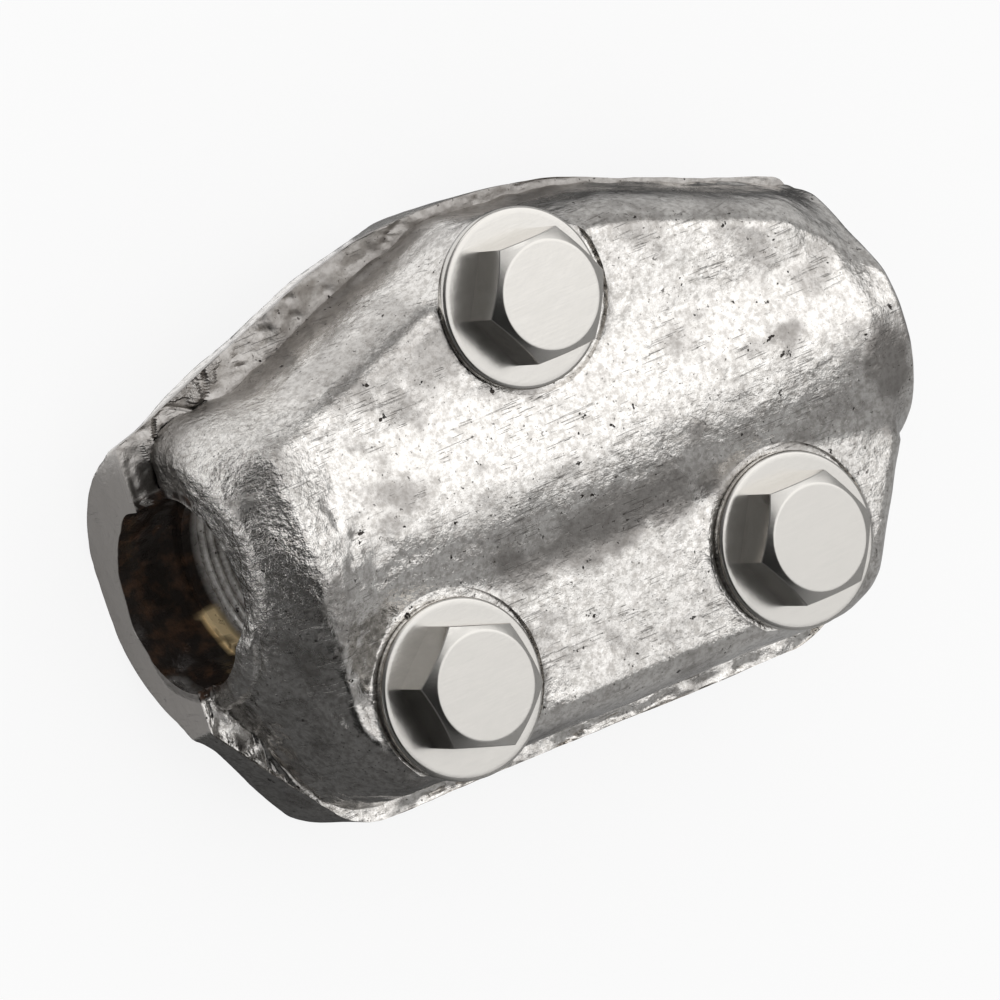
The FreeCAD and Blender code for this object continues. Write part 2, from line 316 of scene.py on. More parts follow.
def cover_field(points):
    """Distance outside the cover without its bore: leaning shoulders, ridge and washer pads.

    Points are measured from the joint face. The ridge is a tube whose radius eases up along a
    quarter of an ellipse from the mouth's wall. A bevel crosses the upper corner of the far end,
    and the near end runs out in a lip below the bore.
    """
    x, y, z = points[..., 0], points[..., 1], points[..., 2]
    walls = plan_distance(points, COVER_LEDGES, COVER_WIDENING, COVER_LEANS, SHOULDER, COVER_ROUNDS)
    crown = (z - SHOULDER + SHOULDER_SINK * step(x, 34.0, 48.0)) / SHOULDER_SPREAD
    shoulders = rounded_and(walls, crown, SHOULDER_ROUND - NEAR_ROUND_LOSS * step(-x, 28.0, 36.0))
    delay = UPPER_FALL_DELAY * step(y, -4.0, 7.0)
    fallen = np.clip((RIDGE_FALL_START - delay - x) / (RIDGE_FALL_RUN - delay), 0.0, 1.0)
    radius = RIDGE_RADIUS - RIDGE_FALL * (1.0 - np.sqrt(1.0 - fallen * fallen))
    radius = radius - RIDGE_FAR_FALL * step(x, 43.0, COVER_RIGHT)
    ridge = np.hypot(y, z) - radius
    field = filled_or(shoulders, ridge, VALLEY_FILL + NEAR_VALLEY_GAIN * step(-x, 28.0, 40.0))
    for spot in BOLT_SPOTS:
        pad = np.hypot(x - spot[0], y - spot[1]) - (WASHER_RADIUS - PAD_INSET)
        field = filled_or(field, rounded_and(pad, z - SEAT - PAD_STAND, PAD_ROUND), PAD_FILL)
    bevel = BEVEL_TILT * (x - COVER_RIGHT) + (y - BEVEL_PLACE) + (z - BEVEL_PLACE)
    field = rounded_and(field, bevel / BEVEL_LENGTH, COVER_END_ROUND)
    near_end = COVER_LEFT - near_lip(y)
    return rounded_and(field, np.maximum(near_end - x, x - COVER_RIGHT), COVER_END_ROUND)


def base_field(points):
    """Distance outside the base without its bore: rims that thin towards the ends, belly and bosses.

    Points are measured from the joint face, so the flat back lies at minus its height.
    """
    x, y, z = points[..., 0], points[..., 1], points[..., 2]
    plan = plan_distance(points, BASE_INSETS, NONE, BASE_LEANS, BASE_LEAN_HEIGHT, BASE_ROUNDS)
    upper_loss = UPPER_RIM_LOSS * step(np.abs(x), HALF_LENGTH - RIM_RUN, HALF_LENGTH)
    far_loss = LOWER_RIM_FAR_LOSS * step(x, HALF_LENGTH - RIM_RUN, HALF_LENGTH)
    near_loss = LOWER_RIM_NEAR_LOSS * step(-x, HALF_LENGTH - LOWER_RIM_NEAR_RUN, HALF_LENGTH)
    rim_height = np.where(y > 0, UPPER_RIM - upper_loss, LOWER_RIM - (far_loss + near_loss))
    rim = rounded_and(plan, -z - rim_height - RIM_SKIRT, RIM_ROUND)
    belly = np.hypot(y - BELLY_MIDDLE[0], z - BELLY_MIDDLE[1]) - BELLY_RADIUS
    field = filled_or(rim, belly, BASE_FILL)
    for spot in BOLT_SPOTS:
        boss_radius = BOSS_RADIUS + BOSS_NARROWING * z / PARTING
        boss = np.hypot(x - spot[0], y - spot[1]) - boss_radius
        field = filled_or(field, rounded_and(boss, -z - PARTING, BACK_ROUND), BASE_FILL)
    field = rounded_and(field, -z - PARTING, BACK_ROUND)
    field = rounded_and(field, plan, JOINT_EDGE_ROUND)
    return rounded_and(field, np.abs(x) - HALF_LENGTH, BASE_END_ROUND)


def gradient(field, points):
    """Unit normal of a field at the points, from differences over a tenth of a millimetre."""
    slope = np.empty_like(points)
    for axis in range(3):
        shift = np.zeros(3)
        shift[axis] = NORMAL_STEP
        slope[..., axis] = field(points + shift) - field(points - shift)
    return slope / np.maximum(np.linalg.norm(slope, axis=-1, keepdims=True), 1e-9)


def ray_rows(left_end, right_end, left_turn, right_turn):
    """Start along the axis and tilt of each row of rays.

    In the middle the rays leave the axis at right angles. Past the two turning points they fan out
    from there towards the ends, until the last ones just miss the mouth.
    """
    left_tilt = math.atan((left_turn - left_end) / (MOUTH_RADIUS + MISS))
    right_tilt = math.atan((right_end - right_turn) / (MOUTH_RADIUS + MISS))
    start = np.concatenate([
        np.full(END_ROWS, left_turn), np.linspace(left_turn, right_turn, MIDDLE_ROWS + 2)[1:-1],
        np.full(END_ROWS, right_turn),
    ])
    tilt = np.concatenate([
        -np.linspace(left_tilt, 0.0, END_ROWS), np.zeros(MIDDLE_ROWS),
        np.linspace(0.0, right_tilt, END_ROWS),
    ])
    return start, tilt


def bore_rows(left_end, right_end, count):
    """Place along the axis and radius of each row of the bore, with both corners of every step kept.

    Each span of the right half has its number of rows, the left half mirrors it, and what is left
    of the rows goes to the grip length between them.
    """
    step_x = HALF_LENGTH - MOUTH_DEPTH
    corners = [(right_end, MOUTH_RADIUS), (right_end - EDGE_ROW, MOUTH_RADIUS)]
    corners += [(step_x, MOUTH_RADIUS), (step_x, GRIP_RADIUS)]
    for i in range(GROOVE_COUNT):
        x = HALF_LENGTH - GROOVE_START - i * GROOVE_PITCH
        corners += [(x + GROOVE_WIDTH / 2, GRIP_RADIUS), (x, GRIP_RADIUS + GROOVE_DEPTH)]
        corners += [(x - GROOVE_WIDTH / 2, GRIP_RADIUS)]
    right = np.array(corners)
    left = right * np.array([-1.0, 1.0])
    left[:2, 0] = (left_end, left_end + EDGE_ROW)
    rows = (MOUTH_ROWS + GROOVE_ROWS * GROOVE_COUNT)[:-1]
    rows = rows + [count - 1 - 2 * sum(rows)] + rows[::-1]
    ends = np.concatenate([left, right[::-1]])
    spans = []
    for i, span_rows in enumerate(rows):
        spans.append(ends[i] + (ends[i + 1] - ends[i]) * (np.arange(span_rows) / span_rows)[:, None])
    place = np.concatenate(spans + [ends[-1:]])
    return place[:, 0], place[:, 1]


def casting_grid(field, ends, turns, first_angle, joint_points, lipped):
    """Closed skin of half a clam shell as rows of loops, with the loops' parts marked.

    Each loop runs over the outside by rays from the bore's axis, in along the joint face, back
    round the bore and out along the joint face again. Marks: 0 outside, 1 joint face, 2 bore.
    """
    start, tilt = ray_rows(*ends, *turns)
    angle = first_angle + np.linspace(0.0, math.pi, ARC_POINTS)
    way = np.empty((len(start), ARC_POINTS, 3))
    way[..., 0] = np.sin(tilt)[:, None]
    way[..., 1] = np.cos(tilt)[:, None] * np.cos(angle)
    way[..., 2] = np.cos(tilt)[:, None] * np.sin(angle)
    origin = np.zeros_like(way)
    origin[..., 0] = start[:, None]
    inner = np.zeros(way.shape[:2])
    outer = np.full(way.shape[:2], REACH)
    for _ in range(HALVINGS):
        halfway = (inner + outer) / 2
        inside = field(origin + way * halfway[..., None]) < 0
        inner = np.where(inside, halfway, inner)
        outer = np.where(inside, outer, halfway)
    skin = origin + way * outer[..., None]
    bore_x, bore_radius = bore_rows(*ends, len(start))
    bore_angle = angle[::-BORE_SHARE]
    bore = np.empty((len(start), len(bore_angle), 3))
    bore[..., 0] = bore_x[:, None]
    bore[..., 1] = bore_radius[:, None] * np.cos(bore_angle)
    bore[..., 2] = bore_radius[:, None] * np.sin(bore_angle)
    if lipped:
        in_near_mouth = step(-bore_x, HALF_LENGTH - MOUTH_DEPTH, -ends[0])[:, None]
        bore[..., 0] -= near_lip(bore[..., 1]) * in_near_mouth
    share = (np.linspace(0.0, 1.0, joint_points + 2)[1:-1] ** JOINT_GATHER)[None, :, None]
    joint_in = skin[:, -1:] * (1.0 - share) + bore[:, :1] * share
    joint_out = skin[:, :1] * (1.0 - share[:, ::-1]) + bore[:, -1:] * share[:, ::-1]
    loops = np.concatenate([skin, joint_in, bore, joint_out], axis=1)
    counts = (ARC_POINTS, joint_points, len(bore_angle), joint_points)
    return loops, np.repeat((0, 1, 2, 1), counts)


def close_ends(loops, marks):
    """Adds a row at each end on which the outside and joint face are drawn in to the mouth's edge."""
    arc = np.flatnonzero(marks == 0)
    bore = np.flatnonzero(marks == 2)
    target = np.arange(len(marks))
    target[arc] = bore[::-1][np.round(np.arange(len(arc)) / BORE_SHARE).astype(int)]
    target[(marks == 1) & (np.arange(len(marks)) < bore[0])] = bore[0]
    target[(marks == 1) & (np.arange(len(marks)) > bore[-1])] = bore[-1]
    return np.concatenate([loops[:1, target], loops, loops[-1:, target]])


def make_mesh(name, points, triangles):
    """Mesh from millimetre points and triangles: doubles merged, empty triangles dropped, turned outward."""
    _, first, same = np.unique(np.round(points / WELD), axis=0, return_index=True, return_inverse=True)
    points = points[first]
    triangles = same.reshape(-1)[triangles]
    a, b, c = triangles.T
    triangles = triangles[(a != b) & (b != c) & (c != a)]
    corner = points[triangles]
    volume = np.einsum("ij,ij->i", corner[:, 0], np.cross(corner[:, 1], corner[:, 2])).sum()
    if volume < 0:
        triangles = triangles[:, ::-1]
    mesh = bpy.data.meshes.new(name)
    mesh.vertices.add(len(points))
    mesh.vertices.foreach_set("co", (points * MM).ravel())
    mesh.loops.add(triangles.size)
    mesh.loops.foreach_set("vertex_index", triangles.ravel())
    mesh.polygons.add(len(triangles))
    mesh.polygons.foreach_set("loop_start", np.arange(len(triangles)) * 3)
    mesh.update(calc_edges=True)
    mesh.validate()
    return mesh


def ring_triangles(rows, columns):
    """Two triangles for each cell of a grid of points, with the last column joined to the first."""
    row = np.arange(rows - 1)[:, None]
    column = np.arange(columns)[None, :]
    beside = (column + 1) % columns
    a = row * columns + column
    b = row * columns + beside
    c = (row + 1) * columns + beside
    d = (row + 1) * columns + column
    return np.concatenate([np.stack([a, b, c], -1).reshape(-1, 3), np.stack([a, c, d], -1).reshape(-1, 3)])


def ring_mesh(name, points):
    """Mesh of rows of points, each row a closed ring."""
    rows, columns = points.shape[:2]
    return make_mesh(name, points.reshape(-1, 3), ring_triangles(rows, columns))


def turned_points(profile, count):
    """Grid of a profile of (radius, height) pairs carried round the Z axis in a number of columns."""
    angles = np.linspace(0.0, 2 * math.pi, count, endpoint=False)
    profile = np.asarray(profile, dtype=float)
    points = np.empty((len(profile), count, 3))
    points[..., 0] = profile[:, :1] * np.cos(angles)
    points[..., 1] = profile[:, :1] * np.sin(angles)
    points[..., 2] = profile[:, 1:]
    return points


def put(name, mesh):
    """Object for a mesh, linked to the scene."""
    thing = bpy.data.objects.new(name, mesh)
    bpy.context.scene.collection.objects.link(thing)
    return thing


def cut(thing, cutters):
    """Cuts closed bodies out of an object and bakes the result into its mesh."""
    for cutter in cutters:
        modifier = thing.modifiers.new("cut", "BOOLEAN")
        modifier.operation = "DIFFERENCE"
        modifier.solver = "EXACT"
        modifier.object = cutter
    bpy.context.view_layer.update()
    baked = bpy.data.meshes.new_from_object(thing.evaluated_get(bpy.context.evaluated_depsgraph_get()))
    thing.modifiers.clear()
    thing.data = baked
    for cutter in cutters:
        bpy.data.objects.remove(cutter)


def plug(name, spot, radius, bottom, top):
    """Closed cylinder used to cut a hole, with heights measured from the joint face."""
    points = turned_points([(0, bottom), (radius, bottom), (radius, top), (0, top)], HOLE_POINTS)
    return put(name, ring_mesh(name, points + np.array([spot[0], spot[1], PARTING])))


def smooth(thing, angle):
    """Smooth shading, kept sharp where faces meet at more than an angle in degrees."""
    thing.data.shade_smooth()
    thing.data.set_sharp_from_angle(angle=math.radians(angle))


def mesh_points(mesh):
    """Points of a mesh in millimetres."""
    points = np.empty(len(mesh.vertices) * 3)
    mesh.vertices.foreach_get("co", points)
    return points.reshape(-1, 3) / MM


def mark_points(thing, masks):
    """Writes named masks from 0 to 1, each worked out from the points, as attributes of the mesh."""
    points = mesh_points(thing.data) - np.array([0, 0, PARTING])
    for name, mask in masks.items():
        values = thing.data.attributes.new(name, "FLOAT", "POINT")
        values.data.foreach_set("value", np.clip(mask(points), 0.0, 1.0).astype(np.float32))


def cover_skin(points):
    """Cover's skin: cast waves, coarser by the near end, and flash hanging over the lower edges."""
    height = lumps(points, SKIN_LAYERS, 11)
    height = height + step(-points[..., 0], 22.0, 38.0) * lumps(points, NEAR_LAYERS, 15)
    edge = 1.0 - step(points[..., 2], 0.4, 2.4)
    return height + edge * (0.35 * lattice_noise(points, 2.2, 17) + 0.15)


def base_skin(points):
    """Base's skin: cast waves, left flat on the two sawn ends."""
    away = 1.0 - step(np.abs(points[..., 0]), HALF_LENGTH - 0.6, HALF_LENGTH - 0.1)
    return lumps(points, SKIN_LAYERS, 31) * away


def around(points):
    """Angle of each point round the bore from +Y, in degrees."""
    return np.degrees(np.arctan2(points[..., 2], points[..., 1]))


def mouth_lumps(points):
    """Inward and outward lumps of the as-cast mouth, none on the turned grip length.

    The base's mouth is shallower than it is wide, and ragged at its lower corner by the near end.
    Angles round the bore are negative in the base.
    """
    depth = HALF_LENGTH - np.abs(points[..., 0])
    angle = around(points)
    rough = 1.0 - step(depth, MOUTH_DEPTH - 0.6, MOUTH_DEPTH + 0.2)
    lip = 1.0 - step(depth, 1.0, 7.0)
    shallow = -MOUTH_SHALLOW * step(angle, -112.0, -88.0) * (1.0 - step(angle, -40.0, -12.0))
    ragged = MOUTH_RAGGED * (1.0 - step(angle, -150.0, -118.0) * step(angle, -180.0, -120.0))
    ragged = ragged * step(-angle, 118.0, 130.0)
    return rough * (lumps(points, MOUTH_LAYERS, 41) + lip * (shallow + ragged))


def ledge_lumps(points):
    """Lumps of flash along the bare ledge of the base's joint face, and none under the cover."""
    flat = points * np.array([1, 1, 0])
    bare = plan_distance(flat, COVER_LEDGES, COVER_WIDENING, NONE, SHOULDER, COVER_ROUNDS)
    bare = step(bare, 0.5, 1.4)
    flash = lumps(points, LEDGE_LAYERS, 51) - 0.1
    cracks = np.abs(lattice_noise(points, 4.6, 53))
    flash = flash - 0.25 * (1.0 - step(cracks, 0.02, 0.1))
    return bare * flash * (1.0 - step(np.abs(points[..., 0]), HALF_LENGTH - 1.5, HALF_LENGTH - 0.2))


def build_casting(name, grid, field, skin, upper):
    """Object of one casting: its grid moved out by its skin, roughened inside the mouth, and closed."""
    loops, marks = grid
    outside = loops[:, marks == 0]
    outside = outside + gradient(field, outside) * skin(outside)[..., None]
    joint = loops[:, marks == 1]
    if not upper:
        joint[..., 2] += ledge_lumps(joint)
    bore = loops[:, marks == 2]
    away = bore * np.array([0.0, 1.0, 1.0])
    away = away / np.linalg.norm(away, axis=-1, keepdims=True)
    bore = bore + away * mouth_lumps(bore)[..., None]
    loops[:, marks == 0] = outside
    loops[:, marks == 1] = joint
    loops[:, marks == 2] = bore
    height = loops[..., 2]
    loops[..., 2] = np.maximum(height, 0.0) if upper else np.minimum(height, FLASH_HEIGHT)
    seam = np.flatnonzero(marks == 0)[[0, -1]]
    loops[:, seam, 2] = 0.0
    loops = close_ends(loops, marks)
    loops[..., 2] += PARTING
    return put(name, ring_mesh(name, loops))


def depth_in_mouth(points):
    """Depth from the casting's own end face: the cover's near end is set back from the base's."""
    depth = HALF_LENGTH - np.abs(points[..., 0])
    near_cover = (points[..., 2] > JOINT_SKIN) & (points[..., 0] < 0)
    return np.where(near_cover, points[..., 0] - COVER_LEFT + near_lip(points[..., 1]), depth)


def in_bore(points):
    """One on the whole wall of the bore, none on the end faces."""
    radius = np.hypot(points[..., 1], points[..., 2])
    return (1.0 - step(radius, *WALL_RADII)) * step(depth_in_mouth(points), *END_FACE)


def in_mouth(points):
    """One on the wall of a mouth and the step behind it, none on the end faces."""
    depth = HALF_LENGTH - np.abs(points[..., 0])
    return in_bore(points) * (1.0 - step(depth, 10.8, 11.4))


def turned_patch(points):
    """One on the crescent behind the left mouth's step where a tool cut down to bare bronze."""
    depth = HALF_LENGTH + points[..., 0] + 0.5 * lattice_noise(points, 1.0, 61)
    along = step(depth, 8.4, 8.9) * (1.0 - step(depth, 10.6, 11.0))
    angle = around(points)
    return along * step(angle, -154.0, -148.0) * (1.0 - step(angle, -118.0, -112.0))


def on_sawn_end(points):
    """One on the flat ends of the base."""
    end = step(np.abs(points[..., 0]), HALF_LENGTH - 0.12, HALF_LENGTH - 0.02)
    return end * (points[..., 2] < 0.05)


# Dull stains from above: middle x and y, half length, half width, turn in radians, strength
STAINS = (
    (2.0, -9.5, 17.0, 3.4, 0.03, 0.9),
    (16.0, -3.1, 2.0, 1.6, 0.0, 0.7),
    (32.5, 3.7, 1.4, 1.4, 0.0, 0.9),
    (44.5, -5.0, 3.0, 4.5, 0.2, 0.9),
    (-21.0, 19.5, 9.0, 3.2, 0.3, 0.55),
    (-12.5, 17.5, 5.0, 4.0, 0.3, 0.7),
    (38.0, 9.0, 3.5, 2.5, 0.4, 0.6),
    (-26.0, 3.0, 5.0, 2.0, 0.2, 0.4),
)


def stains_and_shade(points):
    """Grey dull stains, and painted shade, where they lie on the object, with ragged edges.

    The stains are those of the list. The painted shade greys the foot of the cover's upper walls,
    higher up by the near end, and the bare ledge below those walls.
    """
    x, y, z = points[..., 0], points[..., 1], points[..., 2]
    edge = lumps(points, STAIN_LAYERS, 71)
    value = np.zeros(points.shape[:-1])
    for spot_x, spot_y, half_length, half_width, turn, strength in STAINS:
        along = (x - spot_x) * math.cos(turn) + (y - spot_y) * math.sin(turn)
        across = (y - spot_y) * math.cos(turn) - (x - spot_x) * math.sin(turn)
        distance = np.hypot(along / half_length, across / half_width) * half_width - half_width
        value = np.maximum(value, strength * (1.0 - step(distance + edge, -1.2, 1.2)))
    # Painted shade: grey band along the foot of the cover's upper walls where they meet the ledge, higher up
    # by the near end
    wall = step(y - 0.34 * x, 12.0, 20.0) * (1.0 - step(z + 0.6 * edge, 1.5, 7.0))
    near_wall = step(-x, 38.0, 40.0) * step(y, 8.0, 12.0) * (1.0 - step(z + 0.6 * edge, 3.0, 9.0))
    wall = np.maximum(wall, near_wall)
    # Painted shade on the bare ledge along the upper side, below the cover's walls
    ledge = step(z, -1.5, -0.5)
    value = np.maximum(value, 0.8 * ledge * (z < 0.6) * (y > 12.0 + edge))
    return np.maximum(value, 0.95 * wall * np.maximum(z > 0.6, ledge * (x > -27.0 + 2.0 * edge)))


def coarse(points):
    """One on the coarse skin of the cover round its near mouth, fading out over the ridge."""
    edge = 2.0 * lattice_noise(points, 4.0, 75)
    near = step(-points[..., 0] + edge + 0.3 * points[..., 1], 33.0, 43.0)
    return near * step(points[..., 1] + edge, -16.0, -6.0) * (points[..., 2] > JOINT_SKIN)


MASKS = {
    "mouth_scale": in_mouth, "bare_bronze": turned_patch, "ground": on_sawn_end, "in_bore": in_bore,
    "stains_and_shade": stains_and_shade, "coarse": coarse,
}


def srgb(code):
    """Linear colour with full alpha from an sRGB hex code."""
    parts = [int(code[i:i + 2], 16) / 255 for i in (1, 3, 5)]
    return [p / 12.92 if p <= 0.04045 else ((p + 0.055) / 1.055) ** 2.4 for p in parts] + [1.0]


def join(tree, node, inputs):
    """Gives a node's inputs their values or links."""
    for key, value in dict(inputs).items():
        if isinstance(value, bpy.types.NodeSocket):
            tree.links.new(value, node.inputs[key])
        else:
            node.inputs[key].default_value = value


def add(tree, kind, inputs=(), output=0, **settings):
    """Adds a node with its settings, values and links, and hands back one output if it has any."""
    node = tree.nodes.new(kind)
    for key, value in settings.items():
        setattr(node, key, value)
    join(tree, node, inputs)
    return node.outputs[output] if len(node.outputs) else None


def new_tree(owner):
    """Emptied node tree of a new material or world."""
    owner.use_nodes = True
    owner.node_tree.nodes.clear()
    return owner.node_tree


def new_material(name):
    """Material with its node tree, its shader, metal at first, and the object's coordinates."""
    material = bpy.data.materials.new(name)
    tree = new_tree(material)
    surface = add(tree, "ShaderNodeBsdfPrincipled", {"Metallic": 1.0})
    add(tree, "ShaderNodeOutputMaterial", {"Surface": surface})
    return material, tree, surface.node, add(tree, "ShaderNodeTexCoord", output="Object")


def patterns(tree, place, table):
    """Random patterns of a table by name: noise, eased from 0 to 1 between two levels if it has them."""
    made = {}
    for name, (size, detail, roughness, levels) in table.items():
        grain = {"Vector": place, "Scale": 1.0 / (size * MM), "Detail": detail, "Roughness": roughness}
        made[name] = add(tree, "ShaderNodeTexNoise", grain)
        if levels:
            limits = {"Value": made[name], "From Min": levels[0], "From Max": levels[1]}
            made[name] = add(tree, "ShaderNodeMapRange", limits, interpolation_type="SMOOTHSTEP")
    return made


def layered(tree, kind, first, layers):
    """First colour or value with others laid over it in turn, each by a share times a strength."""
    under, over, result = (6, 7, 2) if kind == "RGBA" else (2, 3, 0)
    for share, strength, upper in layers:
        share = add(tree, "ShaderNodeMath", {0: share, 1: strength}, operation="MULTIPLY")
        first = add(tree, "ShaderNodeMix", {0: share, under: first, over: upper}, result, data_type=kind)
    return first


def relief(tree, layers):
    """Normal bent by heights in turn, each with its full swing in millimetres."""
    normal = None
    for height, swing in layers:
        inputs = {"Height": height, "Distance": swing * MM, "Strength": 1.0}
        if normal is not None:
            inputs["Normal"] = normal
        normal = add(tree, "ShaderNodeBump", inputs)
    return normal


def scratches(tree, place, patches, angle, length, width, amount):
    """Thin lines of a length and width in millimetres along an angle: one on a line, none beside it.

    A noise stretched along the angle gives bands, of which the narrow tops are kept inside patches.
    """
    turn = {"Vector": place, "Scale": (1.0, length / width, 1.0), "Rotation": (0.0, 0.0, math.radians(angle))}
    table = {"lines": (length, 1.0, 0.4, (amount, amount + 0.03))}
    lines = patterns(tree, add(tree, "ShaderNodeMapping", turn), table)["lines"]
    return add(tree, "ShaderNodeMath", {0: lines, 1: patches}, operation="MULTIPLY")


# Patterns of the tin: size of the largest features, detail, roughness and levels
TIN_PATTERNS = {
    "lumpy": (13.0, 3.0, 0.6, (0.42, 0.62)),
    "cloud": (9.0, 7.0, 0.65, (0.5, 0.66)),
    "grain": (0.8, 5.0, 0.7, (0.34, 0.62)),
    "specks": (0.55, 2.0, 0.6, (0.66, 0.72)),
    "pits": (2.2, 3.0, 0.72, (0.68, 0.73)),
    "scuffed": (6.0, 3.0, 0.6, (0.5, 0.6)),
    "brown": (2.5, 4.0, 0.6, (0.45, 0.75)),
    "lumps": (1.9, 4.0, 0.6, None),
    "fine": (0.5, 3.0, 0.6, None),
    "knobbly": (1.0, 4.0, 0.65, None),
}

# Scratches of the tin: angle in degrees, length, width and level above which a band shows
TIN_SCRATCHES = ((24.0, 7.0, 0.2, 0.69), (-38.0, 5.0, 0.2, 0.68), (80.0, 4.0, 0.2, 0.68))


def tin_dipped_bronze(finish):
    """Bronze dipped in molten tin over a sand-cast skin, then knocked about.

    The bright metal runs smooth in places and lumpy in others. Grey dull clouds and stains, dark specks and
    pits, and short scratches in several directions break the highlights up. Painted shade greys the foot
    of the cover's upper walls and the bare ledge below them. The mouths are dark
    with hints of brown, one patch in them is bare bronze, and the sawn ends are grey.
    """
    material, tree, shader, place = new_material("tin_dipped_bronze")
    pattern = patterns(tree, place, TIN_PATTERNS)
    mask = {name: add(tree, "ShaderNodeAttribute", output="Fac", attribute_name=name) for name in MASKS}
    marks = 0.0
    for scratch in TIN_SCRATCHES:
        lines = scratches(tree, place, pattern["scuffed"], *scratch)
        marks = add(tree, "ShaderNodeMath", {0: marks, 1: lines}, operation="MAXIMUM")
    specks = add(tree, "ShaderNodeMath", {0: pattern["specks"], 1: 0.8}, operation="MULTIPLY")
    dark = add(tree, "ShaderNodeMath", {0: specks, 1: pattern["pits"]}, operation="MAXIMUM")
    tarnish = layered(tree, "RGBA", finish.scale_dark, [(pattern["brown"], 1.0, finish.scale_brown)])
    colour = layered(tree, "RGBA", finish.tin_dark, [
        (pattern["grain"], 1.0, finish.tin_light),
        (pattern["cloud"], 0.5, finish.tin_stain_and_shade),
        # Grey of the stains, and painted shade at the foot of the cover's upper walls and on the ledge
        (mask["stains_and_shade"], 0.75, finish.tin_stain_and_shade),
        (dark, 1.0, finish.pit),
        (marks, 0.35, finish.pit),
        (mask["mouth_scale"], 1.0, tarnish),
        (mask["bare_bronze"], 1.0, finish.bronze),
        (mask["ground"], 1.0, finish.ground),
    ])
    dull = add(tree, "ShaderNodeMath", {0: mask["in_bore"], 1: mask["ground"]}, operation="MAXIMUM")
    dull = add(tree, "ShaderNodeMath", {0: dull, 1: 0.65}, operation="MULTIPLY")
    dull = add(tree, "ShaderNodeMath", {0: dull, 1: mask["bare_bronze"]}, operation="MAXIMUM")
    metal = add(tree, "ShaderNodeMath", {0: 1.0, 1: dull}, operation="SUBTRACT")
    rough = layered(tree, "FLOAT", 0.15, [(pattern["cloud"], 1.0, 0.3), (mask["stains_and_shade"], 1.0, 0.34)])
    lumpy = add(tree, "ShaderNodeMath", {0: pattern["lumpy"], 1: 0.25}, operation="ADD")
    heights = add(tree, "ShaderNodeMath", {0: pattern["lumps"], 1: lumpy}, operation="MULTIPLY")
    knobs = add(tree, "ShaderNodeMath", {0: pattern["knobbly"], 1: mask["coarse"]}, operation="MULTIPLY")
    grooves = add(tree, "ShaderNodeMath", {0: marks, 1: 0.3}, operation="MULTIPLY")
    hollows = add(tree, "ShaderNodeMath", {0: pattern["pits"], 1: grooves}, operation="MAXIMUM")
    level = add(tree, "ShaderNodeMath", {0: 1.0, 1: hollows}, operation="SUBTRACT")
    normal = relief(tree, [(heights, 0.16), (pattern["fine"], 0.04), (knobs, 0.3), (level, 0.15)])
    join(tree, shader, {"Base Color": colour, "Metallic": metal, "Roughness": rough, "Normal": normal})
    return material


def satin_stainless(finish):
    """Rolled and tumbled stainless steel: even satin with fine scuffs.

    The scuffs all run one way, as rolling leaves them, and the satin varies softly over a few
    millimetres.
    """
    material, tree, shader, place = new_material("satin_stainless")
    satin = patterns(tree, place, {"satin": (3.0, 4.0, 0.6, None)})["satin"]
    turn = {"Vector": place, "Scale": (1.0, 18.0, 1.0), "Rotation": (0.0, 0.0, math.radians(35.0))}
    scuffs = patterns(tree, add(tree, "ShaderNodeMapping", turn), {"scuffs": (7.0, 3.0, 0.6, None)})["scuffs"]
    rough = layered(tree, "FLOAT", 0.16, [(satin, 1.0, 0.28)])
    normal = relief(tree, [(scuffs, 0.006), (satin, 0.025)])
    join(tree, shader, {"Base Color": finish.steel, "Roughness": rough, "Normal": normal})
    return material


def grey_cloth():
    """Woven grey cloth of the tent, matt, in the tone that its mesh carries."""
    material, tree, shader, _ = new_material("grey_cloth")
    tone = add(tree, "ShaderNodeAttribute", output="Fac", attribute_name="tone")
    join(tree, shader, {"Base Color": tone, "Metallic": 0.0, "Roughness": 1.0, "Specular IOR Level": 0.0})
    return material


class ConnectorSizes(bpy.types.PropertyGroup):
    """Sizes of the screw thread, which the looks add to the plain shanks of the frame."""
    thread_pitch: bpy.props.FloatProperty(
        name="Thread pitch", description="Distance between neighbouring threads", default=1.5875 * MM,
        min=0.5 * MM, unit="LENGTH")
    thread_depth: bpy.props.FloatProperty(
        name="Thread depth", description="Depth of the thread below its crest", default=0.9 * MM,
        min=0.0, unit="LENGTH")


